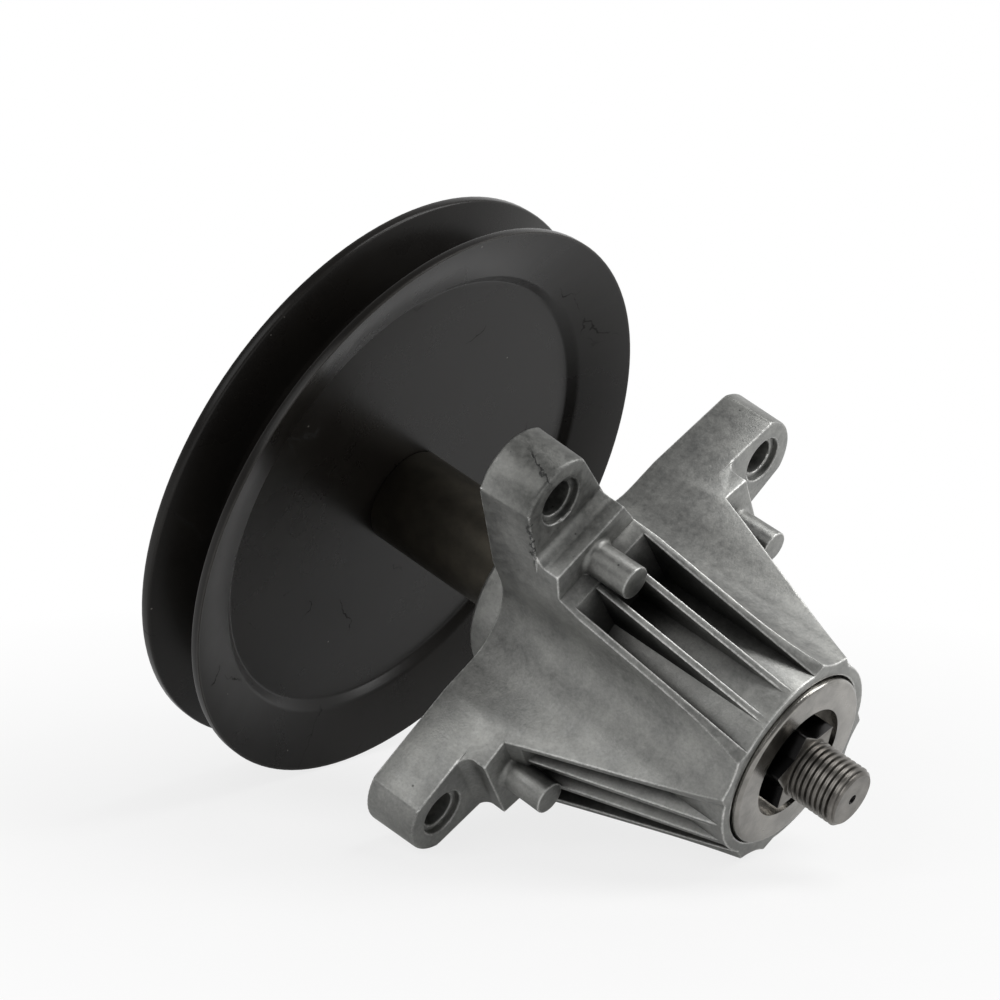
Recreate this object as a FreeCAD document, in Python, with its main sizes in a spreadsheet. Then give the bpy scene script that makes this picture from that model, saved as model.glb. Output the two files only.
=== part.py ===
"""Mower deck spindle: a ribbed die-cast housing that carries a shaft on two sealed ball bearings,
with a two-piece V-belt pulley at the top and a star-drive blade stud at the bottom.

Frame: millimetres, +Z up along the spindle axis from the blade to the pulley, origin on that axis
in the plane of the ears' top faces, which bolt up against the mower deck. Ears lie on X and Y.
"""
import FreeCAD, Part
import math
import os
import Sketcher

doc = FreeCAD.newDocument("mower_deck_spindle")

# Driving dimensions, in millimetres and degrees
SIZES = [
    # Housing: ears and arms
    ("bolt_circle", 112.8),
    ("bolt_hole", 8.4),
    ("bolt_mouth", 11.2),
    ("bolt_mouth_depth", 1.4),
    ("ear_reach", 66.5),
    ("ear_tip_width", 18.8),
    ("ear_end_radius", 11.8),
    ("ear_taper_start", 36.0),
    ("ear_thickness", 13.9),
    ("ear_draft", 2.0),
    ("ear_edge_round", 0.8),
    ("arm_width", 26.0),
    ("arm_wall", 45.4),
    ("arm_wall_inset", 0.2),
    ("arm_wall_fillet", 2.8),
    ("shelf_drop", 6.0),
    ("valley_radius", 15.0),
    ("panel_crest", 38.4),
    ("panel_foot", 21.2),
    ("panel_thickness", 1.8),
    ("channel_lip", 3.2),
    ("channel_slant", 3.5),
    ("rib_crest", 37.6),
    ("rib_foot", 23.2),
    ("rib_thickness", 1.7),
    ("rib_spacing", 8.3),
    ("boss_diameter", 7.8),
    ("boss_circle", 78.6),
    ("boss_length", 11.3),
    # Housing: barrel and pilot
    ("housing_depth", 68.7),
    ("pilot_diameter", 45.8),
    ("pilot_height", 8.0),
    ("pilot_chamfer", 0.8),
    ("foot_wall", 2.6),
    ("seat_shoulder", 2.5),
    ("seat_clearance", 0.02),
    ("bearing_inset", 1.2),
    ("bearing_setback", 0.4),
    # Sealed ball bearings
    ("bearing_bore", 17.0),
    ("bearing_outer", 40.0),
    ("bearing_width", 12.0),
    ("ball_count", 8),
    ("ball_diameter", 6.75),
    ("ball_pitch", 28.5),
    ("ball_clearance", 0.15),
    ("inner_land", 24.5),
    ("outer_land", 32.8),
    ("seal_thickness", 0.8),
    ("seal_inset", 0.3),
    ("seal_bite", 0.8),
    ("seal_lip_gap", 0.15),
    ("cage_thickness", 1.8),
    ("cage_bar", 0.8),
    ("cage_clearance", 0.15),
    # Shaft, star and threads
    ("journal_clearance", 0.02),
    ("key_flats", 14.7),
    ("key_clearance", 0.05),
    ("thread_diameter", 14.29),
    ("thread_chamfer", 1.0),
    ("thread_clearance", 0.05),
    ("shaft_above_nut", 2.5),
    ("nut_relief", 0.6),
    ("star_tip_diameter", 22.2),
    ("star_valley_diameter", 15.2),
    ("star_tip_round", 0.6),
    ("star_proud", 2.1),
    ("star_turn", 12.0),
    ("stud_length", 12.9),
    ("dimple_diameter", 3.0),
    ("dimple_depth", 1.6),
    # Blade disc
    ("disc_diameter", 41.8),
    ("disc_gap", 0.5),
    ("disc_recess", 3.5),
    ("disc_back_gap", 0.5),
    ("disc_proud", 1.3),
    ("disc_hole", 27.2),
    ("disc_lip", 1.5),
    ("disc_edge_round", 0.9),
    # Spacers, pulley and nut
    ("bearing_spacer_diameter", 22.0),
    ("pulley_spacer_diameter", 23.8),
    ("spacer_clearance", 0.1),
    ("pulley_diameter", 146.0),
    ("pulley_width", 19.2),
    ("pulley_sheet", 2.3),
    ("pulley_web", 114.0),
    ("pulley_step", 1.4),
    ("pulley_step_run", 1.0),
    ("pulley_bend", 1.0),
    ("pulley_height", 52.9),
    ("nut_flats", 22.2),
    ("nut_height", 13.0),
    ("nut_chamfer", 1.4),
    ("nut_flange", 30.0),
    ("nut_flange_edge", 1.2),
    ("nut_flange_height", 3.2),
]

# Places worked out from the driving dimensions
PLACES = [
    # Housing
    ("arm_half", "dims.arm_width / 2"),
    ("ear_tip_half", "dims.ear_tip_width / 2"),
    ("ear_sagitta", "dims.ear_end_radius - sqrt(dims.ear_end_radius ^ 2 - ear_tip_half ^ 2)"),
    ("ear_corner", "dims.ear_reach - ear_sagitta"),
    ("ear_taper", "(arm_half - ear_tip_half) / (ear_corner - dims.ear_taper_start)"),
    ("ear_draft_run", "dims.ear_thickness * tan(dims.ear_draft)"),
    ("wall_from_taper", "dims.arm_wall - dims.ear_taper_start"),
    ("arm_wall_half", "arm_half - ear_taper * wall_from_taper - ear_draft_run - dims.arm_wall_inset"),
    ("bolt_place", "dims.bolt_circle / 2"),
    ("bolt_radius", "dims.bolt_hole / 2"),
    ("bolt_mouth_radius", "dims.bolt_mouth / 2"),
    ("beyond_ear", "dims.ear_reach + dims.arm_width"),
    ("shelf_depth", "dims.ear_thickness + dims.shelf_drop"),
    ("channel_top", "shelf_depth + dims.channel_lip"),
    ("channel_root_top", "channel_top + dims.channel_slant"),
    ("channel_root", "dims.bearing_outer / 2"),
    ("channel_width", "dims.arm_width - 2 * dims.panel_thickness"),
    ("rib_place", "dims.rib_spacing / 2"),
    ("boss_place", "dims.boss_circle / 2"),
    ("boss_radius", "dims.boss_diameter / 2"),
    ("foot_bore", "dims.disc_diameter / 2 + dims.disc_gap"),
    ("barrel_radius", "foot_bore + dims.foot_wall"),
    ("pilot_radius", "dims.pilot_diameter / 2"),
    ("pilot_shoulder", "dims.pilot_height - dims.pilot_chamfer"),
    ("pilot_nose", "dims.pilot_diameter / 2 - dims.pilot_chamfer"),
    ("seat_radius", "dims.bearing_outer / 2 + dims.seat_clearance"),
    ("shoulder_radius", "dims.bearing_outer / 2 - dims.seat_shoulder"),
    ("upper_race_top", "dims.pilot_height - dims.bearing_inset"),
    ("upper_race_foot", "upper_race_top - dims.bearing_width"),
    ("upper_race_middle", "upper_race_top - dims.bearing_width / 2"),
    ("foot_floor", "dims.disc_recess - dims.housing_depth"),
    ("lower_race_foot", "foot_floor + dims.bearing_setback"),
    ("lower_race_top", "lower_race_foot + dims.bearing_width"),
    ("lower_race_middle", "lower_race_foot + dims.bearing_width / 2"),
    # Bearings, about their own middle
    ("race_half", "dims.bearing_width / 2"),
    ("race_bore", "dims.bearing_bore / 2"),
    ("race_outer", "dims.bearing_outer / 2"),
    ("inner_land_radius", "dims.inner_land / 2"),
    ("outer_land_radius", "dims.outer_land / 2"),
    ("pitch_radius", "dims.ball_pitch / 2"),
    ("track_radius", "dims.ball_diameter / 2 + dims.ball_clearance"),
    ("seal_rim", "dims.outer_land / 2 + dims.seal_bite"),
    ("seal_rim_fit", "seal_rim - dims.seat_clearance"),
    ("seal_lip", "dims.inner_land / 2 + dims.seal_lip_gap"),
    ("seal_face", "race_half - dims.seal_inset"),
    ("seal_floor", "race_half - dims.seal_inset - dims.seal_thickness"),
    ("cage_inner", "dims.ball_pitch / 2 - dims.cage_thickness / 2"),
    ("cage_outer", "dims.ball_pitch / 2 + dims.cage_thickness / 2"),
    ("cage_pocket", "dims.ball_diameter / 2 + dims.cage_clearance"),
    ("cage_half", "cage_pocket + dims.cage_bar"),
    # Shaft and disc
    ("journal", "dims.bearing_bore / 2 - dims.journal_clearance"),
    ("thread_radius", "dims.thread_diameter / 2"),
    ("thread_nose", "dims.thread_diameter / 2 - dims.thread_chamfer"),
    ("thread_hole", "dims.thread_diameter / 2 + dims.thread_clearance"),
    ("web_top", "dims.pulley_height + dims.pulley_sheet"),
    ("web_foot", "dims.pulley_height - dims.pulley_sheet"),
    ("journal_top", "web_top - dims.nut_relief"),
    ("shaft_top", "web_top + dims.nut_height + dims.shaft_above_nut"),
    ("shaft_top_edge", "shaft_top - dims.thread_chamfer"),
    ("key_length", "journal_top - web_foot"),
    ("key_half", "dims.key_flats / 2"),
    ("key_beyond", "dims.bearing_bore"),
    ("keyhole_radius", "journal + dims.key_clearance"),
    ("keyhole_half", "dims.key_flats / 2 + dims.key_clearance"),
    ("keyhole_run", "sqrt(keyhole_radius ^ 2 - keyhole_half ^ 2)"),
    ("disc_floor", "lower_race_foot - dims.disc_lip"),
    ("disc_back", "foot_floor - dims.disc_back_gap"),
    ("disc_front", "-dims.housing_depth - dims.disc_proud"),
    ("disc_radius", "dims.disc_diameter / 2"),
    ("disc_hole_radius", "dims.disc_hole / 2"),
    ("disc_hub", "dims.inner_land / 2 - dims.seal_lip_gap"),
    ("star_face", "disc_front - dims.star_proud"),
    ("star_height", "disc_floor - star_face"),
    ("star_tip", "dims.star_tip_diameter / 2"),
    ("star_tip_half", "star_tip / 2"),
    ("star_tip_rise", "star_tip * sqrt(3) / 2"),
    ("star_valley", "dims.star_valley_diameter / 2"),
    ("star_valley_half", "star_valley / 2"),
    ("star_valley_rise", "star_valley * sqrt(3) / 2"),
    ("stud_end", "star_face - dims.stud_length"),
    ("stud_edge", "stud_end + dims.thread_chamfer"),
    ("dimple_radius", "dims.dimple_diameter / 2"),
    ("dimple_root", "stud_end + dims.dimple_depth"),
    # Spacers, pulley and nut
    ("spacer_bore", "dims.bearing_bore / 2 + dims.spacer_clearance"),
    ("bearing_spacer_radius", "dims.bearing_spacer_diameter / 2"),
    ("pulley_spacer_radius", "dims.pulley_spacer_diameter / 2"),
    ("rim_radius", "dims.pulley_diameter / 2"),
    ("web_radius", "dims.pulley_web / 2"),
    ("step_radius", "web_radius + dims.pulley_step_run"),
    ("step_angle", "atan(dims.pulley_step / dims.pulley_step_run)"),
    ("flange_rise", "dims.pulley_width / 2 - dims.pulley_sheet - dims.pulley_step"),
    ("flange_angle", "atan(flange_rise / (rim_radius - step_radius))"),
    ("flange_height", "dims.pulley_sheet / cos(flange_angle)"),
    ("bend_outside", "web_radius + dims.pulley_sheet * tan(step_angle / 2)"),
    ("step_lean", "(step_angle + flange_angle) / 2"),
    ("step_mitre", "dims.pulley_sheet / cos((step_angle - flange_angle) / 2)"),
    ("step_back_radius", "step_radius + step_mitre * sin(step_lean)"),
    ("step_back_rise", "step_mitre * cos(step_lean)"),
    ("lower_step", "web_foot - dims.pulley_step"),
    ("lower_step_back", "lower_step + step_back_rise"),
    ("lower_rim", "dims.pulley_height - dims.pulley_width / 2"),
    ("lower_rim_edge", "lower_rim + flange_height"),
    ("upper_step", "web_top + dims.pulley_step"),
    ("upper_step_back", "upper_step - step_back_rise"),
    ("upper_rim", "dims.pulley_height + dims.pulley_width / 2"),
    ("upper_rim_edge", "upper_rim - flange_height"),
    ("pulley_heel", "dims.pulley_bend + dims.pulley_sheet / 2"),
    ("nut_corner", "dims.nut_flats / sqrt(3)"),
    ("nut_half_corner", "nut_corner / 2"),
    ("nut_half_flats", "dims.nut_flats / 2"),
    ("nut_top", "web_top + dims.nut_height"),
    ("nut_top_edge", "nut_top - dims.nut_chamfer"),
    ("nut_crown", "nut_corner - dims.nut_chamfer"),
    ("nut_beyond", "nut_corner + dims.nut_chamfer"),
    ("nut_flange_radius", "dims.nut_flange / 2"),
    ("nut_flange_rim", "web_top + dims.nut_flange_edge"),
    ("nut_flange_top", "web_top + dims.nut_flange_height"),
]

dims = doc.addObject("Spreadsheet::Sheet", "dims")
for row, (name, size) in enumerate(SIZES, start=1):
    dims.set("A%d" % row, name)
    dims.set("B%d" % row, str(size))
    dims.setAlias("B%d" % row, name)
doc.recompute()
places = doc.addObject("Spreadsheet::Sheet", "places")
for row, (name, formula) in enumerate(PLACES, start=1):
    places.set("A%d" % row, name)
    places.set("B%d" % row, "=" + formula)
    places.setAlias("B%d" % row, name)
doc.recompute()

SHEET_OF = {name: dims for name, size in SIZES}
SHEET_OF.update({name: places for name, formula in PLACES})
DOWN = "-"
TOLERANCE = 1e-4


def number(name):
    """The number behind a named size; a leading minus turns it over."""
    if name == "0":
        return 0.0
    if name.startswith(DOWN):
        return -number(name[1:])
    return float(getattr(SHEET_OF[name], name))


def rule(name):
    """The expression that binds a property to a named size."""
    if name.startswith(DOWN):
        return DOWN + rule(name[1:])
    return "%s.%s" % (SHEET_OF[name].Name, name)


def new_body(label):
    """An empty body, which becomes one named piece of the spindle."""
    body = doc.addObject("PartDesign::Body", label)
    body.Label = label
    return body


def datum(body, role):
    """One of the body's own origin planes or axes."""
    return next(item for item in body.Origin.OriginFeatures if item.Role == role)


def sketch_on(body, name, plane, lift=None, turn=None):
    """An empty sketch on an origin plane, lifted along its normal and turned in it by named sizes."""
    sketch = body.newObject("Sketcher::SketchObject", name)
    sketch.AttachmentSupport = [(datum(body, plane), "")]
    sketch.MapMode = "FlatFace"
    height = FreeCAD.Vector(0, 0, number(lift) if lift else 0)
    angle = number(turn) if turn else 0
    sketch.AttachmentOffset = FreeCAD.Placement(height, FreeCAD.Rotation(FreeCAD.Vector(0, 0, 1), angle))
    if lift:
        sketch.setExpression("AttachmentOffset.Base.z", rule(lift))
    if turn:
        sketch.setExpression("AttachmentOffset.Rotation.Angle", rule(turn))
    return sketch


def hold(sketch, edge, end, x, y):
    """Hold one end of an edge at two named distances from the sketch's origin."""
    for kind, name, axis in (("DistanceX", x, -2), ("DistanceY", y, -1)):
        if name == "0":
            sketch.addConstraint(Sketcher.Constraint("PointOnObject", edge, end, axis))
            continue
        held = sketch.addConstraint(Sketcher.Constraint(kind, -1, 1, edge, end, number(name)))
        sketch.setExpression("Constraints[%d]" % held, rule(name))


def outline(sketch, corners, bulges=None):
    """Close a loop through named corners. bulges maps the corner that starts an arc to (radius, toward):
    the arc runs to the next corner, and its middle lies toward that named point."""
    bulges = bulges or {}
    first = sketch.GeometryCount
    count = len(corners)
    points = [FreeCAD.Vector(number(x), number(y), 0) for x, y in corners]
    for i, start in enumerate(points):
        end = points[(i + 1) % count]
        if i in bulges:
            radius, toward = bulges[i]
            sketch.addGeometry(arc_between(start, end, number(radius), toward), False)
        else:
            sketch.addGeometry(Part.LineSegment(start, end), False)
    for i in range(count):
        after = (i + 1) % count
        leaving = end_at(sketch, first + i, points[after])
        arriving = end_at(sketch, first + after, points[after])
        sketch.addConstraint(Sketcher.Constraint("Coincident", first + i, leaving, first + after, arriving))
    for i, (x, y) in enumerate(corners):
        hold(sketch, first + i, end_at(sketch, first + i, points[i]), x, y)
    for i, (radius, toward) in bulges.items():
        held = sketch.addConstraint(Sketcher.Constraint("Radius", first + i, number(radius)))
        sketch.setExpression("Constraints[%d]" % held, rule(radius))


def arc_between(start, end, radius, toward):
    """The shorter arc of a radius from start to end that bulges to the side where toward lies."""
    chord = end - start
    middle = start + chord * 0.5
    side = FreeCAD.Vector(-chord.y, chord.x, 0).normalize()
    if side.dot(FreeCAD.Vector(number(toward[0]), number(toward[1]), 0) - middle) < 0:
        side = side * -1
    rise = radius - math.sqrt(radius ** 2 - (chord.Length / 2) ** 2)
    return Part.Arc(start, middle + side * rise, end)


def end_at(sketch, edge, point):
    """1 or 2: which end of a sketch edge lies at a point."""
    near_start = sketch.getPoint(edge, 1).distanceToPoint(point)
    near_end = sketch.getPoint(edge, 2).distanceToPoint(point)
    return 1 if near_start < near_end else 2


def round_spot(sketch, x, y, radius):
    """A full circle at a named place."""
    centre = FreeCAD.Vector(number(x), number(y), 0)
    circle = sketch.addGeometry(Part.Circle(centre, FreeCAD.Vector(0, 0, 1), number(radius)), False)
    hold(sketch, circle, 3, x, y)
    held = sketch.addConstraint(Sketcher.Constraint("Radius", circle, number(radius)))
    sketch.setExpression("Constraints[%d]" % held, rule(radius))


def turn_about_axis(body, name, sketch, kind="Revolution"):
    """Add or cut a full turn of a sketch on the XZ plane about the spindle axis."""
    feature = body.newObject("PartDesign::" + kind, name)
    feature.Profile = sketch
    feature.ReferenceAxis = (sketch, ["V_Axis"])
    feature.Angle = 360
    return feature


def extrude(body, name, sketch, length, kind="Pad", downward=False, both_ways=False):
    """Pad or pocket a sketch by a named length. downward goes against the sketch's normal."""
    feature = body.newObject("PartDesign::" + kind, name)
    feature.Profile = sketch
    feature.Length = number(length)
    feature.setExpression("Length", rule(length))
    if both_ways:
        feature.SideType = "Symmetric"
    else:
        feature.Reversed = downward if kind == "Pad" else not downward
    return feature


def repeat_round(body, name, feature, count_rule, count):
    """Copy a feature round the spindle axis."""
    pattern = body.newObject("PartDesign::PolarPattern", name)
    pattern.Originals = [feature]
    pattern.Axis = (datum(body, "Z_Axis"), [""])
    pattern.Angle = 360
    pattern.Occurrences = count
    if count_rule:
        pattern.setExpression("Occurrences", count_rule)
    body.Tip = pattern
    return pattern


def edges_where(feature, test):
    """The names of the edges of a feature that pass a test."""
    doc.recompute()
    return ["Edge%d" % i for i, edge in enumerate(feature.Shape.Edges, start=1) if test(edge)]


def fillet(body, name, feature, radius, test):
    """Round the edges of a feature that pass a test."""
    rounding = body.newObject("PartDesign::Fillet", name)
    rounding.Base = (feature, edges_where(feature, test))
    rounding.Radius = number(radius)
    rounding.setExpression("Radius", rule(radius))
    return rounding


def is_ring(edge, radius, height):
    """True for a full circle about the spindle axis with a radius at a height."""
    if edge.Curve.TypeId != "Part::GeomCircle" or not edge.isClosed():
        return False
    same_radius = abs(edge.Curve.Radius - radius) < TOLERANCE
    return same_radius and abs(edge.Curve.Center.z - height) < TOLERANCE


def turned_piece(label, corners):
    """A piece turned on a lathe from one profile of (radius, height) corners."""
    body = new_body(label)
    profile = sketch_on(body, label + "_profile", "XZ_Plane")
    outline(profile, corners)
    turn_about_axis(body, label + "_turn", profile)
    return body


EARS = 4


def spindle_housing():
    """Die casting: four arms round a barrel. Each arm ends at the top in a drafted bolt ear, steps back to a
    shelf with an ejector boss, and slopes to the foot as a channel between two panels with two ribs in it."""
    body = new_body("spindle_housing")

    plan = sketch_on(body, "arm_plan", "XY_Plane")
    outline(
        plan,
        [
            ("0", "-arm_half"),
            ("ear_taper_start", "-arm_half"),
            ("arm_wall", "-arm_wall_half"),
            ("arm_wall", "arm_wall_half"),
            ("ear_taper_start", "arm_half"),
            ("0", "arm_half"),
        ],
    )
    arm = extrude(body, "arm", plan, "housing_depth", downward=True)
    arms = repeat_round(body, "arms", arm, None, EARS)

    half = number("arm_half")

    def in_valley(edge):
        middle = edge.CenterOfMass
        upright = abs(edge.BoundBox.ZLength - edge.Length) < TOLERANCE
        return upright and abs(abs(middle.x) - half) < TOLERANCE and abs(abs(middle.y) - half) < TOLERANCE

    fillet(body, "valleys", arms, "valley_radius", in_valley)

    ear_plan = sketch_on(body, "ear_plan", "XY_Plane")
    outline(
        ear_plan,
        [
            ("ear_taper_start", "-arm_half"),
            ("ear_corner", "-ear_tip_half"),
            ("ear_corner", "ear_tip_half"),
            ("ear_taper_start", "arm_half"),
        ],
        {1: ("ear_end_radius", ("beyond_ear", "0"))},
    )
    ear = extrude(body, "ear", ear_plan, "ear_thickness", downward=True)
    ear.TaperAngle = -number("ear_draft")
    ear.setExpression("TaperAngle", rule("-ear_draft"))
    ears = repeat_round(body, "ears", ear, None, EARS)

    wall = number("arm_wall")
    ear_face = -number("ear_thickness")

    def under_wall(edge):
        middle = edge.CenterOfMass
        level = abs(middle.z - ear_face) < TOLERANCE and edge.BoundBox.ZLength < TOLERANCE
        return level and abs(max(abs(middle.x), abs(middle.y)) - wall) < TOLERANCE

    fillet(body, "wall_fillets", ears, "arm_wall_fillet", under_wall)

    slope = sketch_on(body, "slope_side", "XZ_Plane")
    outline(
        slope,
        [
            ("beyond_ear", "-shelf_depth"),
            ("panel_crest", "-shelf_depth"),
            ("panel_foot", "-housing_depth"),
            ("beyond_ear", "-housing_depth"),
        ],
    )
    slope_cut = extrude(body, "slope", slope, "beyond_ear", kind="Pocket", both_ways=True)
    repeat_round(body, "slopes", slope_cut, None, EARS)

    channel_side = sketch_on(body, "channel_side", "XZ_Plane")
    outline(
        channel_side,
        [
            ("channel_root", "-channel_root_top"),
            ("panel_crest", "-channel_top"),
            ("beyond_ear", "-channel_top"),
            ("beyond_ear", "-housing_depth"),
            ("channel_root", "-housing_depth"),
        ],
    )
    channel = extrude(body, "channel", channel_side, "channel_width", kind="Pocket", both_ways=True)
    repeat_round(body, "channels", channel, None, EARS)

    for side, place in (("left", "rib_place"), ("right", "-rib_place")):
        rib_side = sketch_on(body, side + "_rib_side", "XZ_Plane", lift=place)
        outline(
            rib_side,
            [
                ("channel_root", "-shelf_depth"),
                ("rib_crest", "-shelf_depth"),
                ("rib_foot", "-housing_depth"),
                ("channel_root", "-housing_depth"),
            ],
        )
        rib = extrude(body, side + "_rib", rib_side, "rib_thickness", both_ways=True)
        repeat_round(body, side + "_ribs", rib, None, EARS)

    barrel = sketch_on(body, "barrel_profile", "XZ_Plane")
    outline(
        barrel,
        [
            ("0", "pilot_height"),
            ("pilot_nose", "pilot_height"),
            ("pilot_radius", "pilot_shoulder"),
            ("pilot_radius", "-ear_thickness"),
            ("barrel_radius", "-shelf_depth"),
            ("barrel_radius", "-housing_depth"),
            ("0", "-housing_depth"),
        ],
    )
    turn_about_axis(body, "barrel", barrel)

    spot = sketch_on(body, "boss_plan", "XY_Plane", lift="-shelf_depth")
    round_spot(spot, "boss_place", "0", "boss_radius")
    boss = extrude(body, "ejector_boss", spot, "boss_length", downward=True)
    repeat_round(body, "ejector_bosses", boss, None, EARS)

    bores = sketch_on(body, "bore_profile", "XZ_Plane")
    outline(
        bores,
        [
            ("0", "pilot_height"),
            ("seat_radius", "pilot_height"),
            ("seat_radius", "upper_race_foot"),
            ("shoulder_radius", "upper_race_foot"),
            ("shoulder_radius", "lower_race_top"),
            ("seat_radius", "lower_race_top"),
            ("seat_radius", "foot_floor"),
            ("foot_bore", "foot_floor"),
            ("foot_bore", "-housing_depth"),
            ("0", "-housing_depth"),
        ],
    )
    turn_about_axis(body, "bearing_bores", bores, kind="Groove")

    hole = sketch_on(body, "bolt_hole_plan", "XY_Plane")
    round_spot(hole, "bolt_place", "0", "bolt_radius")
    drilled = extrude(body, "bolt_hole_cut", hole, "ear_thickness", kind="Pocket", downward=True)
    repeat_round(body, "bolt_holes", drilled, None, EARS)
    mouth = sketch_on(body, "bolt_mouth_plan", "XY_Plane", lift="-ear_thickness")
    round_spot(mouth, "bolt_place", "0", "bolt_mouth_radius")
    faced = extrude(body, "bolt_mouth_cut", mouth, "bolt_mouth_depth", kind="Pocket")
    mouths = repeat_round(body, "bolt_mouths", faced, None, EARS)

    bolt_place = number("bolt_place")

    def on_ear_end(edge):
        middle = edge.CenterOfMass
        level = edge.BoundBox.ZLength < TOLERANCE
        beyond_bolt = max(abs(middle.x), abs(middle.y)) > bolt_place
        return level and beyond_bolt and not edge.isClosed()

    fillet(body, "ear_edges", mouths, "ear_edge_round", on_ear_end)
    return body


def sealed_bearing(position):
    """One sealed deep-groove ball bearing, modelled about its middle and set at its seat in the housing."""
    pieces = []

    def ring(part_name, corners):
        piece = turned_piece("%s_bearing_%s" % (position, part_name), corners)
        pieces.append(piece)
        return piece

    def cut_track(race):
        track = sketch_on(race, race.Label + "_track", "XZ_Plane")
        round_spot(track, "pitch_radius", "0", "track_radius")
        turn_about_axis(race, race.Label + "_track_cut", track, kind="Groove")

    cut_track(
        ring(
            "outer_race",
            [
                ("race_outer", "-race_half"),
                ("race_outer", "race_half"),
                ("seal_rim", "race_half"),
                ("seal_rim", "seal_floor"),
                ("outer_land_radius", "seal_floor"),
                ("outer_land_radius", "-seal_floor"),
                ("seal_rim", "-seal_floor"),
                ("seal_rim", "-race_half"),
            ],
        )
    )
    cut_track(
        ring(
            "inner_race",
            [
                ("race_bore", "-race_half"),
                ("inner_land_radius", "-race_half"),
                ("inner_land_radius", "race_half"),
                ("race_bore", "race_half"),
            ],
        )
    )
    for part_name, face, floor in (
        ("top_seal", "seal_face", "seal_floor"),
        ("bottom_seal", "-seal_face", "-seal_floor"),
    ):
        ring(
            part_name,
            [("seal_lip", floor), ("seal_rim_fit", floor), ("seal_rim_fit", face), ("seal_lip", face)],
        )

    cage = ring(
        "cage",
        [
            ("cage_inner", "-cage_half"),
            ("cage_outer", "-cage_half"),
            ("cage_outer", "cage_half"),
            ("cage_inner", "cage_half"),
        ],
    )
    pocket_face = sketch_on(cage, cage.Label + "_pocket_face", "YZ_Plane")
    round_spot(pocket_face, "0", "0", "cage_pocket")
    pocket = extrude(cage, cage.Label + "_pocket", pocket_face, "race_outer", kind="Pocket")
    repeat_round(cage, cage.Label + "_pockets", pocket, "dims.ball_count", int(number("ball_count")))

    balls = doc.addObject("Part::Compound", position + "_bearing_balls")
    balls.Label = position + "_bearing_balls"
    placed = []
    for i in range(int(number("ball_count"))):
        ball = doc.addObject("Part::Sphere", "%s_ball_%d" % (position, i + 1))
        angle = "(%d * 360 deg / dims.ball_count)" % i
        ball.setExpression("Radius", "dims.ball_diameter / 2")
        ball.setExpression("Placement.Base.x", "places.pitch_radius * cos" + angle)
        ball.setExpression("Placement.Base.y", "places.pitch_radius * sin" + angle)
        placed.append(ball)
    balls.Links = placed
    pieces.append(balls)

    for piece in pieces:
        piece.setExpression("Placement.Base.z", "places.%s_race_middle" % position)
    return pieces


def spindle_shaft():
    """Turned shaft: threaded top, journal with two flats for the pulley, a forged six-point star
    whose back face is the shoulder that clamps the stack, and the blade stud with its centre-drill mark."""
    body = new_body("spindle_shaft")
    profile = sketch_on(body, "shaft_profile", "XZ_Plane")
    outline(
        profile,
        [
            ("0", "shaft_top"),
            ("thread_nose", "shaft_top"),
            ("thread_radius", "shaft_top_edge"),
            ("thread_radius", "journal_top"),
            ("journal", "journal_top"),
            ("journal", "disc_floor"),
            ("thread_radius", "disc_floor"),
            ("thread_radius", "stud_edge"),
            ("thread_nose", "stud_end"),
            ("dimple_radius", "stud_end"),
            ("0", "dimple_root"),
        ],
    )
    turn_about_axis(body, "shaft_turn", profile)

    flats = sketch_on(body, "flat_plan", "XY_Plane", lift="journal_top")
    for near, far in (("key_half", "key_beyond"), ("-key_beyond", "-key_half")):
        outline(
            flats,
            [("-key_beyond", near), ("key_beyond", near), ("key_beyond", far), ("-key_beyond", far)],
        )
    extrude(body, "pulley_flats", flats, "key_length", kind="Pocket", downward=True)

    star = sketch_on(body, "star_plan", "XY_Plane", lift="disc_floor", turn="star_turn")
    outline(
        star,
        [
            ("star_tip", "0"),
            ("star_valley_rise", "star_valley_half"),
            ("star_tip_half", "star_tip_rise"),
            ("0", "star_valley"),
            ("-star_tip_half", "star_tip_rise"),
            ("-star_valley_rise", "star_valley_half"),
            ("-star_tip", "0"),
            ("-star_valley_rise", "-star_valley_half"),
            ("-star_tip_half", "-star_tip_rise"),
            ("0", "-star_valley"),
            ("star_tip_half", "-star_tip_rise"),
            ("star_valley_rise", "-star_valley_half"),
        ],
    )
    points = extrude(body, "star", star, "star_height", downward=True)
    tip = number("star_tip")

    def on_star_tip(edge):
        middle = edge.CenterOfMass
        upright = abs(edge.BoundBox.ZLength - edge.Length) < TOLERANCE
        return upright and abs(math.hypot(middle.x, middle.y) - tip) < TOLERANCE

    fillet(body, "star_tips", points, "star_tip_round", on_star_tip)
    return body


def blade_disc():
    """Turned disc that the blade seats on. Its inner lip is clamped between the star and the lower race."""
    body = turned_piece(
        "blade_disc",
        [
            ("spacer_bore", "lower_race_foot"),
            ("disc_hub", "lower_race_foot"),
            ("disc_hub", "disc_back"),
            ("disc_radius", "disc_back"),
            ("disc_radius", "disc_front"),
            ("disc_hole_radius", "disc_front"),
            ("disc_hole_radius", "disc_floor"),
            ("spacer_bore", "disc_floor"),
        ],
    )
    front = number("disc_front")
    outer = number("disc_radius")
    fillet(body, "disc_edge", body.Tip, "disc_edge_round", lambda edge: is_ring(edge, outer, front))
    return body


def tube(label, radius, foot, top):
    """A plain spacer tube over the shaft."""
    return turned_piece(label, [("spacer_bore", foot), (radius, foot), (radius, top), ("spacer_bore", top)])


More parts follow.
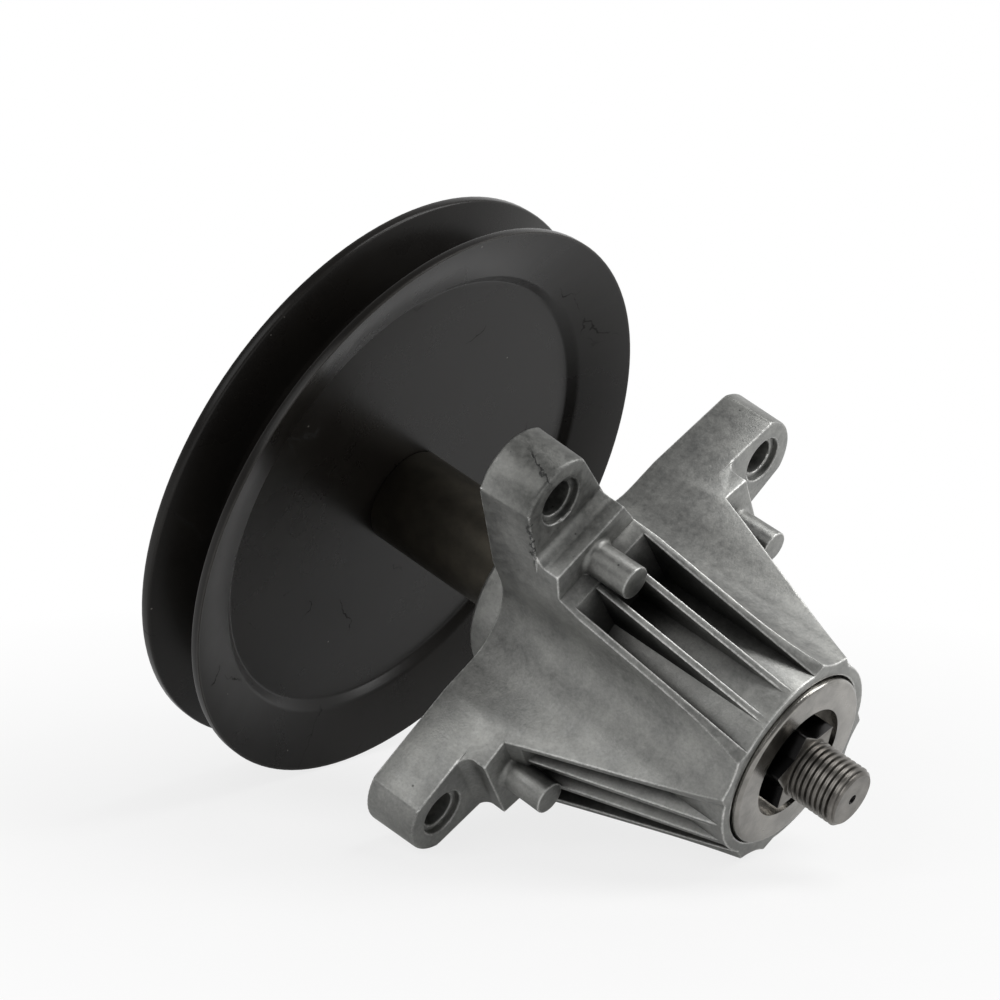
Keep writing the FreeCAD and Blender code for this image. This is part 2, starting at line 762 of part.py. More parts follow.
def pulley_half(side, web_face):
    """Stamped half of the V-belt pulley: a flat web that lies against its twin, stepped up at its edge and
    bent into a flange."""
    label = side + "_pulley_half"
    step = side + "_step"
    step_back = side + "_step_back"
    body = turned_piece(
        label,
        [
            ("0", web_face),
            ("web_radius", web_face),
            ("step_radius", step),
            ("rim_radius", side + "_rim"),
            ("rim_radius", side + "_rim_edge"),
            ("step_back_radius", step_back),
            ("bend_outside", "pulley_height"),
            ("0", "pulley_height"),
        ],
    )
    for name, bend, ring, height in (
        ("_web_bend", "pulley_bend", "web_radius", web_face),
        ("_step_bend", "pulley_heel", "step_radius", step),
        ("_back_bend", "pulley_bend", "step_back_radius", step_back),
        ("_back_heel", "pulley_heel", "bend_outside", "pulley_height"),
    ):
        corner = (number(ring), number(height))
        fillet(body, label + name, body.Tip, bend, lambda edge: is_ring(edge, *corner))

    keyhole = sketch_on(body, label + "_keyhole", "XY_Plane", lift="pulley_height")
    outline(
        keyhole,
        [
            ("keyhole_run", "-keyhole_half"),
            ("keyhole_run", "keyhole_half"),
            ("-keyhole_run", "keyhole_half"),
            ("-keyhole_run", "-keyhole_half"),
        ],
        {0: ("keyhole_radius", ("beyond_ear", "0")), 2: ("keyhole_radius", ("-beyond_ear", "0"))},
    )
    extrude(body, label + "_keyhole_cut", keyhole, "pulley_width", kind="Pocket", both_ways=True)
    return body


def pulley_nut():
    """Hexagon flange nut that clamps the pulley, the spacers and both inner races against the star."""
    body = new_body("pulley_nut")
    hexagon = sketch_on(body, "nut_plan", "XY_Plane", lift="web_top")
    outline(
        hexagon,
        [
            ("nut_corner", "0"),
            ("nut_half_corner", "nut_half_flats"),
            ("-nut_half_corner", "nut_half_flats"),
            ("-nut_corner", "0"),
            ("-nut_half_corner", "-nut_half_flats"),
            ("nut_half_corner", "-nut_half_flats"),
        ],
    )
    extrude(body, "nut_hexagon", hexagon, "nut_height")
    flange = sketch_on(body, "nut_flange_profile", "XZ_Plane")
    outline(
        flange,
        [
            ("0", "web_top"),
            ("nut_flange_radius", "web_top"),
            ("nut_flange_radius", "nut_flange_rim"),
            ("nut_half_flats", "nut_flange_top"),
            ("0", "nut_flange_top"),
        ],
    )
    turn_about_axis(body, "nut_flange_turn", flange)
    crown = sketch_on(body, "nut_crown_profile", "XZ_Plane")
    outline(crown, [("nut_crown", "nut_top"), ("nut_beyond", "nut_top"), ("nut_beyond", "nut_top_edge")])
    turn_about_axis(body, "nut_crown_cut", crown, kind="Groove")
    hole = sketch_on(body, "nut_hole_plan", "XY_Plane", lift="web_top")
    round_spot(hole, "0", "0", "thread_hole")
    extrude(body, "nut_hole", hole, "nut_height", kind="Pocket")
    return body


nodes = [spindle_housing()]
nodes += sealed_bearing("upper")
nodes += sealed_bearing("lower")
nodes.append(tube("bearing_spacer", "bearing_spacer_radius", "lower_race_top", "upper_race_foot"))
nodes.append(spindle_shaft())
nodes.append(blade_disc())
nodes.append(tube("pulley_spacer", "pulley_spacer_radius", "upper_race_top", "web_foot"))
nodes.append(pulley_half("lower", "web_foot"))
nodes.append(pulley_half("upper", "web_top"))
nodes.append(pulley_nut())
doc.recompute()

failed = [item.Name for item in doc.Objects if "Invalid" in item.State or "Error" in item.State]
if failed:
    raise RuntimeError("features that failed: " + ", ".join(failed))
for node in nodes:
    solids = len(node.Shape.Solids)
    wanted = int(number("ball_count")) if node.Label.endswith("_balls") else 1
    if node.Shape.isNull() or not node.Shape.isValid() or solids != wanted:
        raise RuntimeError("%s is not sound: %d solids" % (node.Label, solids))

os.makedirs("parts", exist_ok=True)
for node in nodes:
    node.Shape.exportStep(os.path.join("parts", node.Label + ".step"))
    box = node.Shape.BoundBox
    print("%-28s %10.1f mm3  z %7.2f to %7.2f" % (node.Label, node.Shape.Volume, box.ZMin, box.ZMax))
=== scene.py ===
# Mower deck spindle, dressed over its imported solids. Metres; +Z runs up the spindle axis from the
# blade stud to the pulley, and the four bolt ears lie on X and Y with their top faces at z = 0.
import bmesh
import bpy
import math
from mathutils import Matrix, Vector


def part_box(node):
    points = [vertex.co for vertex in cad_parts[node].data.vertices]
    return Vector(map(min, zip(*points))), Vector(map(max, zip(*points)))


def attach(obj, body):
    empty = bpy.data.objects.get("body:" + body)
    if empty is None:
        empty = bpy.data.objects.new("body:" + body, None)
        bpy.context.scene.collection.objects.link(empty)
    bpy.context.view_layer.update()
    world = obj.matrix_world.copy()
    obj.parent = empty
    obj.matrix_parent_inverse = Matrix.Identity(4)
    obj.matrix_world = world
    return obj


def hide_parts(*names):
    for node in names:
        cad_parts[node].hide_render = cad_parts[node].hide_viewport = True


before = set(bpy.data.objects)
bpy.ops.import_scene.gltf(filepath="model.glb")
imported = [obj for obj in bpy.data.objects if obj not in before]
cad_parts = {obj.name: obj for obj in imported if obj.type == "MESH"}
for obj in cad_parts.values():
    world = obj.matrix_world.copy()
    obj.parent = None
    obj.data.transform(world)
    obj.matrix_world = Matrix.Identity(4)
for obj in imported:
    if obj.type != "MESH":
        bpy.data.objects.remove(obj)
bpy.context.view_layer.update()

# Spindle housing: one aluminium pressure die casting, four ribbed arms round a barrel, with bolt ears
# that hang it under the mower deck. It keeps the matt, mottled skin that the die leaves, with flow marks
# at the ears, and its edges are painted lighter, partly as metal rubbed bare and partly as a painted
# highlight. Its deep channels carry painted shade.
MM = 0.001
SAME_CORNER = 0.001 * MM
SHORT_EDGE = 0.12 * MM
FLAT_ANGLE = math.radians(0.8)
SHARP_ANGLE = math.radians(30)
SNAP = 0.1 * MM
HOUSING_EDGE_BREAK = 0.3 * MM
BOLT_CIRCLE_RADIUS = 56.4 * MM
BOLT_MOUTH_RADIUS = 5.6 * MM
BOLT_MOUTH_BREAK = 0.5 * MM
LOWER_EAR = -10.0 * MM
BOSS_CIRCLE_RADIUS = 39.3 * MM
BOSS_RADIUS = 3.9 * MM
BOSS_FOOT_BLEND = 1.3 * MM
SHELF = -19.9 * MM
CAST_BLOTCH = 12.0
CAST_MOTTLE = 2.2
CAST_SPECKLE = 0.75
CAST_PIT = 2.4
CAST_GRAIN = 0.5
CAST_RELIEF = 0.12 * MM
CHANNEL_SHADE_REACH = 14.0 * MM
EDGE_WEAR_AND_SHEEN_REACH = 0.8 * MM
# Places where the skin is made darker, how far that reaches, and how dark it gets.
DARKER_PATCHES = [
    {"place": (64.0 * MM, 10.0 * MM, -20.0 * MM), "reach": 27.0 * MM, "depth": 0.72},
    {"place": (BOSS_CIRCLE_RADIUS, 0.0, -25.5 * MM), "reach": 8.5 * MM, "depth": 0.5},
]
SHADE_FADE_RADIUS = 47.0 * MM
SHADE_FADE_WIDTH = 2.0 * MM
COLD_SHUTS = [
    {"place": (66.4 * MM, 0.3 * MM, -10.1 * MM), "across": (0.0, 0.923, -0.386), "reach": 5.5 * MM},
    {"place": (52.5 * MM, -10.2 * MM, -13.6 * MM), "across": (0.1, -0.71, 0.7), "reach": 8.5 * MM},
]
COLD_SHUT_WANDER = 2.2 * MM
COLD_SHUT_CORE = 0.12 * MM
COLD_SHUT_WIDTH = 0.4 * MM


def only(piece):
    """Select one object and make it the active one."""
    bpy.ops.object.select_all(action="DESELECT")
    piece.select_set(True)
    bpy.context.view_layer.objects.active = piece


def skin_of(cad_node):
    """A new piece from a CAD node's mesh, its loose triangles merged into one skin with flat faces whole."""
    piece = bpy.data.objects.new(cad_node + "_skin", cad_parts[cad_node].data.copy())
    bpy.context.scene.collection.objects.link(piece)
    piece.data.materials.clear()
    only(piece)
    bpy.ops.object.mode_set(mode="EDIT")
    bpy.ops.mesh.select_all(action="SELECT")
    bpy.ops.mesh.customdata_custom_splitnormals_clear()
    bpy.ops.mesh.remove_doubles(threshold=SAME_CORNER)
    bpy.ops.mesh.dissolve_limited(angle_limit=FLAT_ANGLE)
    bpy.ops.mesh.remove_doubles(threshold=SHORT_EDGE)
    bpy.ops.object.mode_set(mode="OBJECT")
    return piece


def break_edges(piece, width, steps, wanted):
    """Round the edges of a piece that pass a test."""
    only(piece)
    bpy.ops.object.mode_set(mode="EDIT")
    bpy.ops.mesh.select_mode(type="EDGE")
    bpy.ops.mesh.select_all(action="DESELECT")
    shell = bmesh.from_edit_mesh(piece.data)
    for edge in shell.edges:
        edge.select_set(wanted(edge))
    bmesh.update_edit_mesh(piece.data)
    bpy.ops.mesh.bevel(offset=width, segments=steps, affect="EDGES", clamp_overlap=False)
    bpy.ops.object.mode_set(mode="OBJECT")


def smooth(piece, degrees):
    """Shade a piece smooth, but for the edges that are sharper than an angle."""
    only(piece)
    bpy.ops.object.shade_smooth_by_angle(angle=math.radians(degrees))


def linear(code):
    """An sRGB hex colour as the linear colour that a shader socket takes."""
    parts = [int(code[i : i + 2], 16) / 255 for i in (1, 3, 5)]
    return [c / 12.92 if c <= 0.04045 else ((c + 0.055) / 1.055) ** 2.4 for c in parts] + [1.0]


def per(size_mm):
    """The texture scale that gives a pattern features of a size in millimetres."""
    return 1 / (size_mm * MM)


def new_finish(name, **fixed):
    """A material of that name, its node tree and its main shader, which has the fixed sockets set."""
    material = bpy.data.materials.new(name)
    material.use_nodes = True
    shader = material.node_tree.nodes["Principled BSDF"]
    for socket, value in fixed.items():
        shader.inputs[socket.replace("_", " ")].default_value = value
    return material, material.node_tree, shader


def add(tree, kind, feeds, **settings):
    """Add a shader node with its settings; each feed is a fixed value or the output that drives a socket."""
    made = tree.nodes.new("ShaderNode" + kind)
    for name, value in settings.items():
        setattr(made, name, value)
    for socket, value in feeds.items():
        if isinstance(value, bpy.types.NodeSocket):
            tree.links.new(value, made.inputs[socket])
        else:
            made.inputs[socket].default_value = value
    return made.outputs


def hollow(tree, reach, deep, clear):
    """How deep a place lies in a hollow, from 0 in the open to 1 inside, looking out to a reach in metres."""
    sky = add(tree, "AmbientOcclusion", {"Distance": reach}, samples=8, only_local=True)["AO"]
    return add(tree, "MapRange", {0: sky, 1: deep, 2: clear, 3: 1.0, 4: 0.0})[0]


def edge_wear_and_sheen(tree, reach):
    """How near a place is to an outer edge, 0 on the flat to 1 on the edge, within a reach in metres."""
    looking_in = {"samples": 8, "inside": True, "only_local": True}
    backing = add(tree, "AmbientOcclusion", {"Distance": reach}, **looking_in)["AO"]
    return add(tree, "MapRange", {0: backing, 1: 0.55, 2: 0.95, 3: 1.0, 4: 0.0})[0]


def die_cast_aluminium():
    """Die-cast aluminium as it leaves the die: a matt grey skin, cloudy where the metal chilled at different
    speeds, with a fine grain that scatters light, painted shade in the deep channels, and edges painted
    lighter, partly as metal rubbed bare and partly as a painted highlight. Round one ear and one boss the
    skin is darker, and near that ear it is pitted, with cold shuts, which are the dark lines where two
    streams of metal met."""
    material, tree, shader = new_finish("die_cast_aluminium", Metallic=0.8)
    where = add(tree, "TexCoord", {})["Object"]
    blotches = {"Vector": where, "Scale": per(CAST_BLOTCH), "Detail": 6.0, "Roughness": 0.62}
    cloud = add(tree, "TexNoise", blotches)
    chilling = {"Vector": where, "Scale": per(CAST_MOTTLE), "Detail": 5.0, "Roughness": 0.65}
    mottle = add(tree, "TexNoise", chilling)
    grain = add(tree, "TexNoise", {"Vector": where, "Scale": per(CAST_GRAIN), "Detail": 2.0})
    specks = {"Vector": where, "Scale": per(CAST_SPECKLE), "Detail": 3.0, "Roughness": 0.7}
    speckle = add(tree, "TexNoise", specks)
    cloudy = add(tree, "MapRange", {0: cloud["Fac"], 1: 0.3, 2: 0.7, 3: 0.0, 4: 0.5})[0]
    mottled = add(tree, "MapRange", {0: mottle["Fac"], 1: 0.25, 2: 0.75, 3: 0.0, 4: 0.35})[0]
    speckled = add(tree, "MapRange", {0: speckle["Fac"], 1: 0.3, 2: 0.7, 3: -0.04, 4: 0.18})[0]
    tone = add(tree, "Math", {0: cloudy, 1: mottled}, operation="ADD")[0]
    tone = add(tree, "Math", {0: tone, 1: speckled}, operation="ADD")[0]
    grey = add(tree, "Mix", {0: tone, 6: linear("#6c6d6c"), 7: linear("#aeaeaa")}, data_type="RGBA")[2]

    # Edges are painted lighter, towards near white: partly metal rubbed bare, partly a painted highlight.
    edge = add(tree, "Math", {0: edge_wear_and_sheen(tree, EDGE_WEAR_AND_SHEEN_REACH), 1: speckle["Fac"]}, operation="MULTIPLY")[0]
    edge = add(tree, "MapRange", {0: edge, 1: 0.13, 2: 0.34, 3: 0.0, 4: 1.0})[0]
    grey = add(tree, "Mix", {0: edge, 6: grey, 7: linear("#eeeeeb")}, data_type="RGBA")[2]

    # Darker, mottled patches round ear A's end and round its boss; the pits gather in the first.
    patch_darkening = []
    for patch in DARKER_PATCHES:
        away = add(tree, "VectorMath", {0: where, 1: patch["place"]}, operation="DISTANCE")["Value"]
        fade = {0: away, 1: 0.68 * patch["reach"], 2: patch["reach"], 3: patch["depth"], 4: 0.0}
        patch_darkening.append(add(tree, "MapRange", fade)[0])
    dark_patch = add(tree, "Math", {0: patch_darkening[0], 1: patch_darkening[1]}, operation="MAXIMUM")[0]
    patchy = add(tree, "MapRange", {0: mottle["Fac"], 1: 0.3, 2: 0.6, 3: 1.0, 4: 0.75})[0]
    dark_patch_share = add(tree, "Math", {0: dark_patch, 1: patchy}, operation="MULTIPLY")[0]
    grey = add(tree, "Mix", {0: dark_patch_share, 6: grey, 7: linear("#2f302d")}, data_type="RGBA")[2]

    cell = add(tree, "TexVoronoi", {"Vector": where, "Scale": per(CAST_PIT)})
    dot = add(tree, "MapRange", {0: cell["Distance"], 1: 0.06, 2: 0.14, 3: 1.0, 4: 0.0})[0]
    often = add(tree, "MapRange", {0: dark_patch, 1: 0.0, 2: 0.7, 3: 0.9, 4: 0.66})[0]
    chosen = add(tree, "Math", {0: cell["Color"], 1: often}, operation="GREATER_THAN")[0]
    marks = add(tree, "Math", {0: dot, 1: chosen}, operation="MULTIPLY")[0]
    sway = {0: mottle["Fac"], 1: 0.0, 2: 1.0, 3: -COLD_SHUT_WANDER, 4: COLD_SHUT_WANDER}
    wander = add(tree, "MapRange", sway)[0]
    for shut in COLD_SHUTS:
        off = add(tree, "VectorMath", {0: where, 1: shut["place"]}, operation="SUBTRACT")[0]
        across = add(tree, "VectorMath", {0: off, 1: shut["across"]}, operation="DOT_PRODUCT")["Value"]
        across = add(tree, "Math", {0: across, 1: wander}, operation="ADD")[0]
        across = add(tree, "Math", {0: across}, operation="ABSOLUTE")[0]
        line = add(tree, "MapRange", {0: across, 1: COLD_SHUT_CORE, 2: COLD_SHUT_WIDTH, 3: 1.0, 4: 0.0})[0]
        far = add(tree, "VectorMath", {0: where, 1: shut["place"]}, operation="DISTANCE")["Value"]
        near = add(tree, "MapRange", {0: far, 1: 0.7 * shut["reach"], 2: shut["reach"], 3: 1.0, 4: 0.0})[0]
        line = add(tree, "Math", {0: line, 1: near}, operation="MULTIPLY")[0]
        marks = add(tree, "Math", {0: marks, 1: line}, operation="MAXIMUM")[0]
    dark = add(tree, "Math", {0: marks, 1: 0.8}, operation="MULTIPLY")[0]
    grey = add(tree, "Mix", {0: dark, 6: grey, 7: linear("#1c1c1d")}, data_type="RGBA")[2]

    # Painted shade: the deep channels are darkened by how enclosed they are, and less so out on the ears.
    level = add(tree, "VectorMath", {0: where, 1: (1, 1, 0)}, operation="MULTIPLY")[0]
    out = add(tree, "VectorMath", {0: level}, operation="LENGTH")["Value"]
    shade_by_radius = {0: out, 1: SHADE_FADE_RADIUS, 2: SHADE_FADE_RADIUS + SHADE_FADE_WIDTH, 3: 0.88, 4: 0.3}
    share = add(tree, "MapRange", shade_by_radius)[0]
    channel_depth = hollow(tree, CHANNEL_SHADE_REACH, 0.15, 0.74)
    painted_channel_shade = add(tree, "Math", {0: channel_depth, 1: share}, operation="MULTIPLY")[0]
    colour = add(tree, "Mix", {0: painted_channel_shade, 6: grey, 7: linear("#2a2928")}, data_type="RGBA")[2]
    tree.links.new(colour, shader.inputs["Base Color"])

    gloss = add(tree, "MapRange", {0: mottle["Fac"], 1: 0.3, 2: 0.7, 3: 0.36, 4: 0.52})[0]
    tree.links.new(gloss, shader.inputs["Roughness"])
    skin = add(tree, "Math", {0: grain["Fac"], 1: mottle["Fac"]}, operation="ADD")[0]
    skin = add(tree, "Math", {0: skin, 1: marks}, operation="SUBTRACT")[0]
    relief = add(tree, "Bump", {"Height": skin, "Strength": 0.28, "Distance": CAST_RELIEF})[0]
    tree.links.new(relief, shader.inputs["Normal"])
    return material


def cast_edge(edge):
    """True for a sharp outer edge of the casting."""
    return edge.is_manifold and edge.calc_face_angle_signed(0) > SHARP_ANGLE


def middle_of(edge):
    """The place halfway along an edge."""
    return (edge.verts[0].co + edge.verts[1].co) / 2


def from_arm_axis(place, radius):
    """How far a place lies, seen along the spindle, from the upright line at a radius on the nearest arm."""
    along = max(abs(place.x), abs(place.y))
    aside = min(abs(place.x), abs(place.y))
    return math.hypot(along - radius, aside)


def boss_foot_edge(edge):
    """True for the inner corner where a round boss stands on its shelf."""
    middle = middle_of(edge)
    off_wall = abs(from_arm_axis(middle, BOSS_CIRCLE_RADIUS) - BOSS_RADIUS)
    inner = edge.is_manifold and edge.calc_face_angle_signed(0) < -SHARP_ANGLE
    return inner and off_wall < SNAP and abs(middle.z - SHELF) < 2 * SNAP


def bolt_mouth_edge(edge):
    """True for the rims of the bolt holes' mouths on the ears' lower faces."""
    middle = middle_of(edge)
    at_hole = from_arm_axis(middle, BOLT_CIRCLE_RADIUS) < BOLT_MOUTH_RADIUS + SNAP
    return cast_edge(edge) and middle.z < LOWER_EAR and at_hole


housing = skin_of("spindle_housing")
housing.data.materials.append(die_cast_aluminium())
break_edges(housing, BOSS_FOOT_BLEND, 4, boss_foot_edge)
break_edges(housing, BOLT_MOUTH_BREAK, 3, bolt_mouth_edge)
break_edges(housing, HOUSING_EDGE_BREAK, 2, cast_edge)
smooth(housing, 26)
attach(housing, "housing")
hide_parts("spindle_housing")

# Two sealed ball bearings, pressed into the housing's ends: ground steel races, eight balls in a pressed
# cage, and a moulded rubber seal each side. The housing hides them but for the upper one's top face.
GRINDING_LINE = 0.4
GRINDING_FILM = 5.0
RUBBER_GRAIN = 0.35
GREASE_PATCH = 4.0
FINE_RELIEF = 0.05 * MM
# At scale 1 the rings of a wave texture lie this far apart, in metres.
WAVE_RING = 0.314


def dress(cad_node, material):
    """Give a CAD node its finish."""
    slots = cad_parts[cad_node].data.materials
    slots.clear()
    slots.append(material)


def ground_bearing_steel():
    """Hardened chrome steel, ground: near mirror, with fine rings left by the wheel. The real lines are
    a few microns wide, so they are drawn coarser to show."""
    material, tree, shader = new_finish("ground_bearing_steel", Metallic=1.0)
    where = add(tree, "TexCoord", {})["Object"]
    lines = add(
        tree,
        "TexWave",
        {"Vector": where, "Scale": WAVE_RING * per(GRINDING_LINE), "Distortion": 0.4, "Detail": 2.0},
        wave_type="RINGS",
        rings_direction="Z",
    )
    film = add(tree, "TexNoise", {"Vector": where, "Scale": per(GRINDING_FILM), "Detail": 4.0})
    greys = {0: film["Fac"], 6: linear("#9a9b9b"), 7: linear("#c2c2c0")}
    colour = add(tree, "Mix", greys, data_type="RGBA")[2]
    tree.links.new(colour, shader.inputs["Base Color"])
    gloss = add(tree, "MapRange", {0: film["Fac"], 1: 0.3, 2: 0.7, 3: 0.14, 4: 0.28})[0]
    tree.links.new(gloss, shader.inputs["Roughness"])
    relief = add(tree, "Bump", {"Height": lines["Fac"], "Strength": 0.12, "Distance": FINE_RELIEF})[0]
    tree.links.new(relief, shader.inputs["Normal"])
    return material


def moulded_nitrile_rubber():
    """Nitrile rubber, moulded: dull black with a fine grain, paler where grease has dried on it."""
    material, tree, shader = new_finish("moulded_nitrile_rubber")
    where = add(tree, "TexCoord", {})["Object"]
    grain = add(tree, "TexNoise", {"Vector": where, "Scale": per(RUBBER_GRAIN), "Detail": 3.0})
    film = add(tree, "TexNoise", {"Vector": where, "Scale": per(GREASE_PATCH), "Detail": 5.0})
    blacks = {0: film["Fac"], 6: linear("#141414"), 7: linear("#2c2b29")}
    colour = add(tree, "Mix", blacks, data_type="RGBA")[2]
    tree.links.new(colour, shader.inputs["Base Color"])
    gloss = add(tree, "MapRange", {0: film["Fac"], 1: 0.3, 2: 0.7, 3: 0.55, 4: 0.75})[0]
    tree.links.new(gloss, shader.inputs["Roughness"])
    relief = add(tree, "Bump", {"Height": grain["Fac"], "Strength": 0.2, "Distance": FINE_RELIEF})[0]
    tree.links.new(relief, shader.inputs["Normal"])
    return material


bearing_steel = ground_bearing_steel()
seal_rubber = moulded_nitrile_rubber()
for end in ("upper", "lower"):
    for part in ("outer_race", "inner_race", "balls", "cage"):
        dress("%s_bearing_%s" % (end, part), bearing_steel)
    for part in ("top_seal", "bottom_seal"):
        dress("%s_bearing_%s" % (end, part), seal_rubber)

# Spindle shaft and bearing spacer: the shaft is turned from steel bar, with a star forged on it that drives
# the blade and a rolled 9/16 inch thread, 18 to the inch, at each end. The spacer tube keeps the races apart.
THREAD_PITCH = 25.4 / 18 * MM
THREAD_DEPTH = 0.66 * MM
THREAD_RADIUS = 7.145 * MM
# Shares of the pitch: the flat on the crest, and half of the flat at the root.
THREAD_CREST = 0.3
THREAD_ROOT = 0.12
THREAD_STEPS = 72
THREAD_WELD = 0.002 * MM
THREAD_CHAMFER = 1.0 * MM
THREAD_LAP = 0.5 * MM
BLANK_MARGIN = 0.05 * MM
BLANK_SPARE = 1.0 * MM
CENTRE_MARK_RADIUS = 1.2 * MM
CENTRE_MARK_DEPTH = 2.6 * MM
CENTRE_MARK_POINT = 0.08
STUD_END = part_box("spindle_shaft")[0].z
SHAFT_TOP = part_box("spindle_shaft")[1].z
STUD_LENGTH = 12.9 * MM
STAR_FACE = STUD_END + STUD_LENGTH
STAR_ROOT = -65.0 * MM
STAR_LAP = 0.3 * MM
STAR_EDGE_BREAK = 0.35 * MM
STAR_MARGIN = 0.02 * MM
STAR_FRONT_TILT = -0.9
LEVEL = 0.01 * MM
NUT_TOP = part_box("pulley_nut")[1].z
TURNED_LINE = 0.45
OIL_FILM = 6.0
OXIDE_CLOUD = 7.0
OXIDE_GRAIN = 0.6


def turned_steel(name, dark, light, rough):
    """Plain carbon steel, turned and left bare: bright grey metal with fine rings from the tool, a thin oily
    film that dulls it in patches, and painted shade in the thread roots and other hollows. The tool marks
    are drawn coarser, to show."""
    material, tree, shader = new_finish(name, Metallic=1.0)
    where = add(tree, "TexCoord", {})["Object"]
    lines = add(
        tree,
        "TexWave",
        {"Vector": where, "Scale": WAVE_RING * per(TURNED_LINE), "Distortion": 0.6, "Detail": 2.0},
        wave_type="RINGS",
        rings_direction="Z",
    )
    film = add(tree, "TexNoise", {"Vector": where, "Scale": per(OIL_FILM), "Detail": 5.0, "Roughness": 0.6})
    shade = add(tree, "MapRange", {0: film["Fac"], 1: 0.35, 2: 0.65, 3: 0.0, 4: 1.0})[0]
    bare = add(tree, "Mix", {0: shade, 6: linear(dark), 7: linear(light)}, data_type="RGBA")[2]
    # Painted shade: the thread roots and other hollows are darkened by how enclosed they are.
    root = hollow(tree, 2 * THREAD_PITCH, 0.2, 0.8)
    painted_root_shade = add(tree, "Math", {0: root, 1: 0.4}, operation="MULTIPLY")[0]
    colour = add(tree, "Mix", {0: painted_root_shade, 6: bare, 7: linear("#151413")}, data_type="RGBA")[2]
    tree.links.new(colour, shader.inputs["Base Color"])
    gloss = add(tree, "MapRange", {0: film["Fac"], 1: 0.3, 2: 0.7, 3: rough - 0.06, 4: rough + 0.08})[0]
    tree.links.new(gloss, shader.inputs["Roughness"])
    relief = add(tree, "Bump", {"Height": lines["Fac"], "Strength": 0.2, "Distance": FINE_RELIEF})[0]
    tree.links.new(relief, shader.inputs["Normal"])
    return material


def black_oxide_steel(name, dark, light, rough):
    """Steel blackened in a hot oxide bath and oiled: a thin brown-black film over the metal, so it keeps a
    metal sheen, with cloudy patches where the oil lies thicker."""
    material, tree, shader = new_finish(name, Metallic=0.85)
    where = add(tree, "TexCoord", {})["Object"]
    clouds = {"Vector": where, "Scale": per(OXIDE_CLOUD), "Detail": 6.0, "Roughness": 0.6}
    cloud = add(tree, "TexNoise", clouds)
    grain = add(tree, "TexNoise", {"Vector": where, "Scale": per(OXIDE_GRAIN), "Detail": 2.0})
    shade = add(tree, "MapRange", {0: cloud["Fac"], 1: 0.35, 2: 0.65, 3: 0.0, 4: 1.0})[0]
    colour = add(tree, "Mix", {0: shade, 6: linear(dark), 7: linear(light)}, data_type="RGBA")[2]
    tree.links.new(colour, shader.inputs["Base Color"])
    gloss = add(tree, "MapRange", {0: cloud["Fac"], 1: 0.3, 2: 0.7, 3: rough - 0.02, 4: rough + 0.03})[0]
    tree.links.new(gloss, shader.inputs["Roughness"])
    relief = add(tree, "Bump", {"Height": grain["Fac"], "Strength": 0.15, "Distance": FINE_RELIEF})[0]
    tree.links.new(relief, shader.inputs["Normal"])
    return material


def cut_below(piece, height):
    """Cut away what lies below a height and close the cut."""
    only(piece)
    bpy.ops.object.mode_set(mode="EDIT")
    bpy.ops.mesh.select_all(action="SELECT")
    bpy.ops.mesh.bisect(plane_co=(0, 0, height), plane_no=(0, 0, 1), use_fill=True, clear_inner=True)
    bpy.ops.object.mode_set(mode="OBJECT")


def cut_above(piece, height):
    """Cut away what lies above a height and close the cut."""
    only(piece)
    bpy.ops.object.mode_set(mode="EDIT")
    bpy.ops.mesh.select_all(action="SELECT")
    bpy.ops.mesh.bisect(plane_co=(0, 0, height), plane_no=(0, 0, 1), use_fill=True, clear_outer=True)
    bpy.ops.object.mode_set(mode="OBJECT")


def rolled_thread(name, foot, top):
    """A rolled thread between two heights: one tooth's outline, stacked and screwed round the axis."""
    turns = int((top - foot) / THREAD_PITCH) + 3
    root = THREAD_RADIUS - THREAD_DEPTH
    crest_foot = 0.5 - THREAD_CREST / 2
    crest_top = 0.5 + THREAD_CREST / 2
    tooth = [(root, 0.0), (root, THREAD_ROOT), (THREAD_RADIUS, crest_foot), (THREAD_RADIUS, crest_top)]
    tooth.append((root, 1 - THREAD_ROOT))
    start = foot - 1.5 * THREAD_PITCH
    corners = [(out, 0, start + (turn + rise) * THREAD_PITCH) for turn in range(turns) for out, rise in tooth]
    outline = bpy.data.meshes.new(name)
    outline.from_pydata(corners, [(i, i + 1) for i in range(len(corners) - 1)], [])
    thread = bpy.data.objects.new(name, outline)
    bpy.context.scene.collection.objects.link(thread)
    only(thread)
    helix = thread.modifiers.new("helix", "SCREW")
    helix.axis = "Z"
    helix.angle = 2 * math.pi
    helix.screw_offset = THREAD_PITCH
    helix.steps = THREAD_STEPS
    helix.render_steps = THREAD_STEPS
    helix.use_merge_vertices = True
    helix.merge_threshold = THREAD_WELD
    bpy.ops.object.modifier_apply(modifier="helix")
    bpy.ops.object.mode_set(mode="EDIT")
    bpy.ops.mesh.select_all(action="SELECT")
    bpy.ops.mesh.remove_doubles(threshold=THREAD_WELD)
    bpy.ops.object.mode_set(mode="OBJECT")
    cut_below(thread, foot)
    cut_above(thread, top)
    only(thread)
    bpy.ops.object.mode_set(mode="EDIT")
    bpy.ops.mesh.select_all(action="SELECT")
    bpy.ops.mesh.normals_make_consistent(inside=False)
    bpy.ops.object.mode_set(mode="OBJECT")
    return thread


def trim_to(piece, blank):
    """Keep only what lies inside a blank, and remove the blank."""
    only(piece)
    trim = piece.modifiers.new("trim", "BOOLEAN")
    trim.operation = "INTERSECT"
    trim.solver = "EXACT"
    trim.object = blank
    bpy.ops.object.modifier_apply(modifier="trim")
    bpy.data.objects.remove(blank)


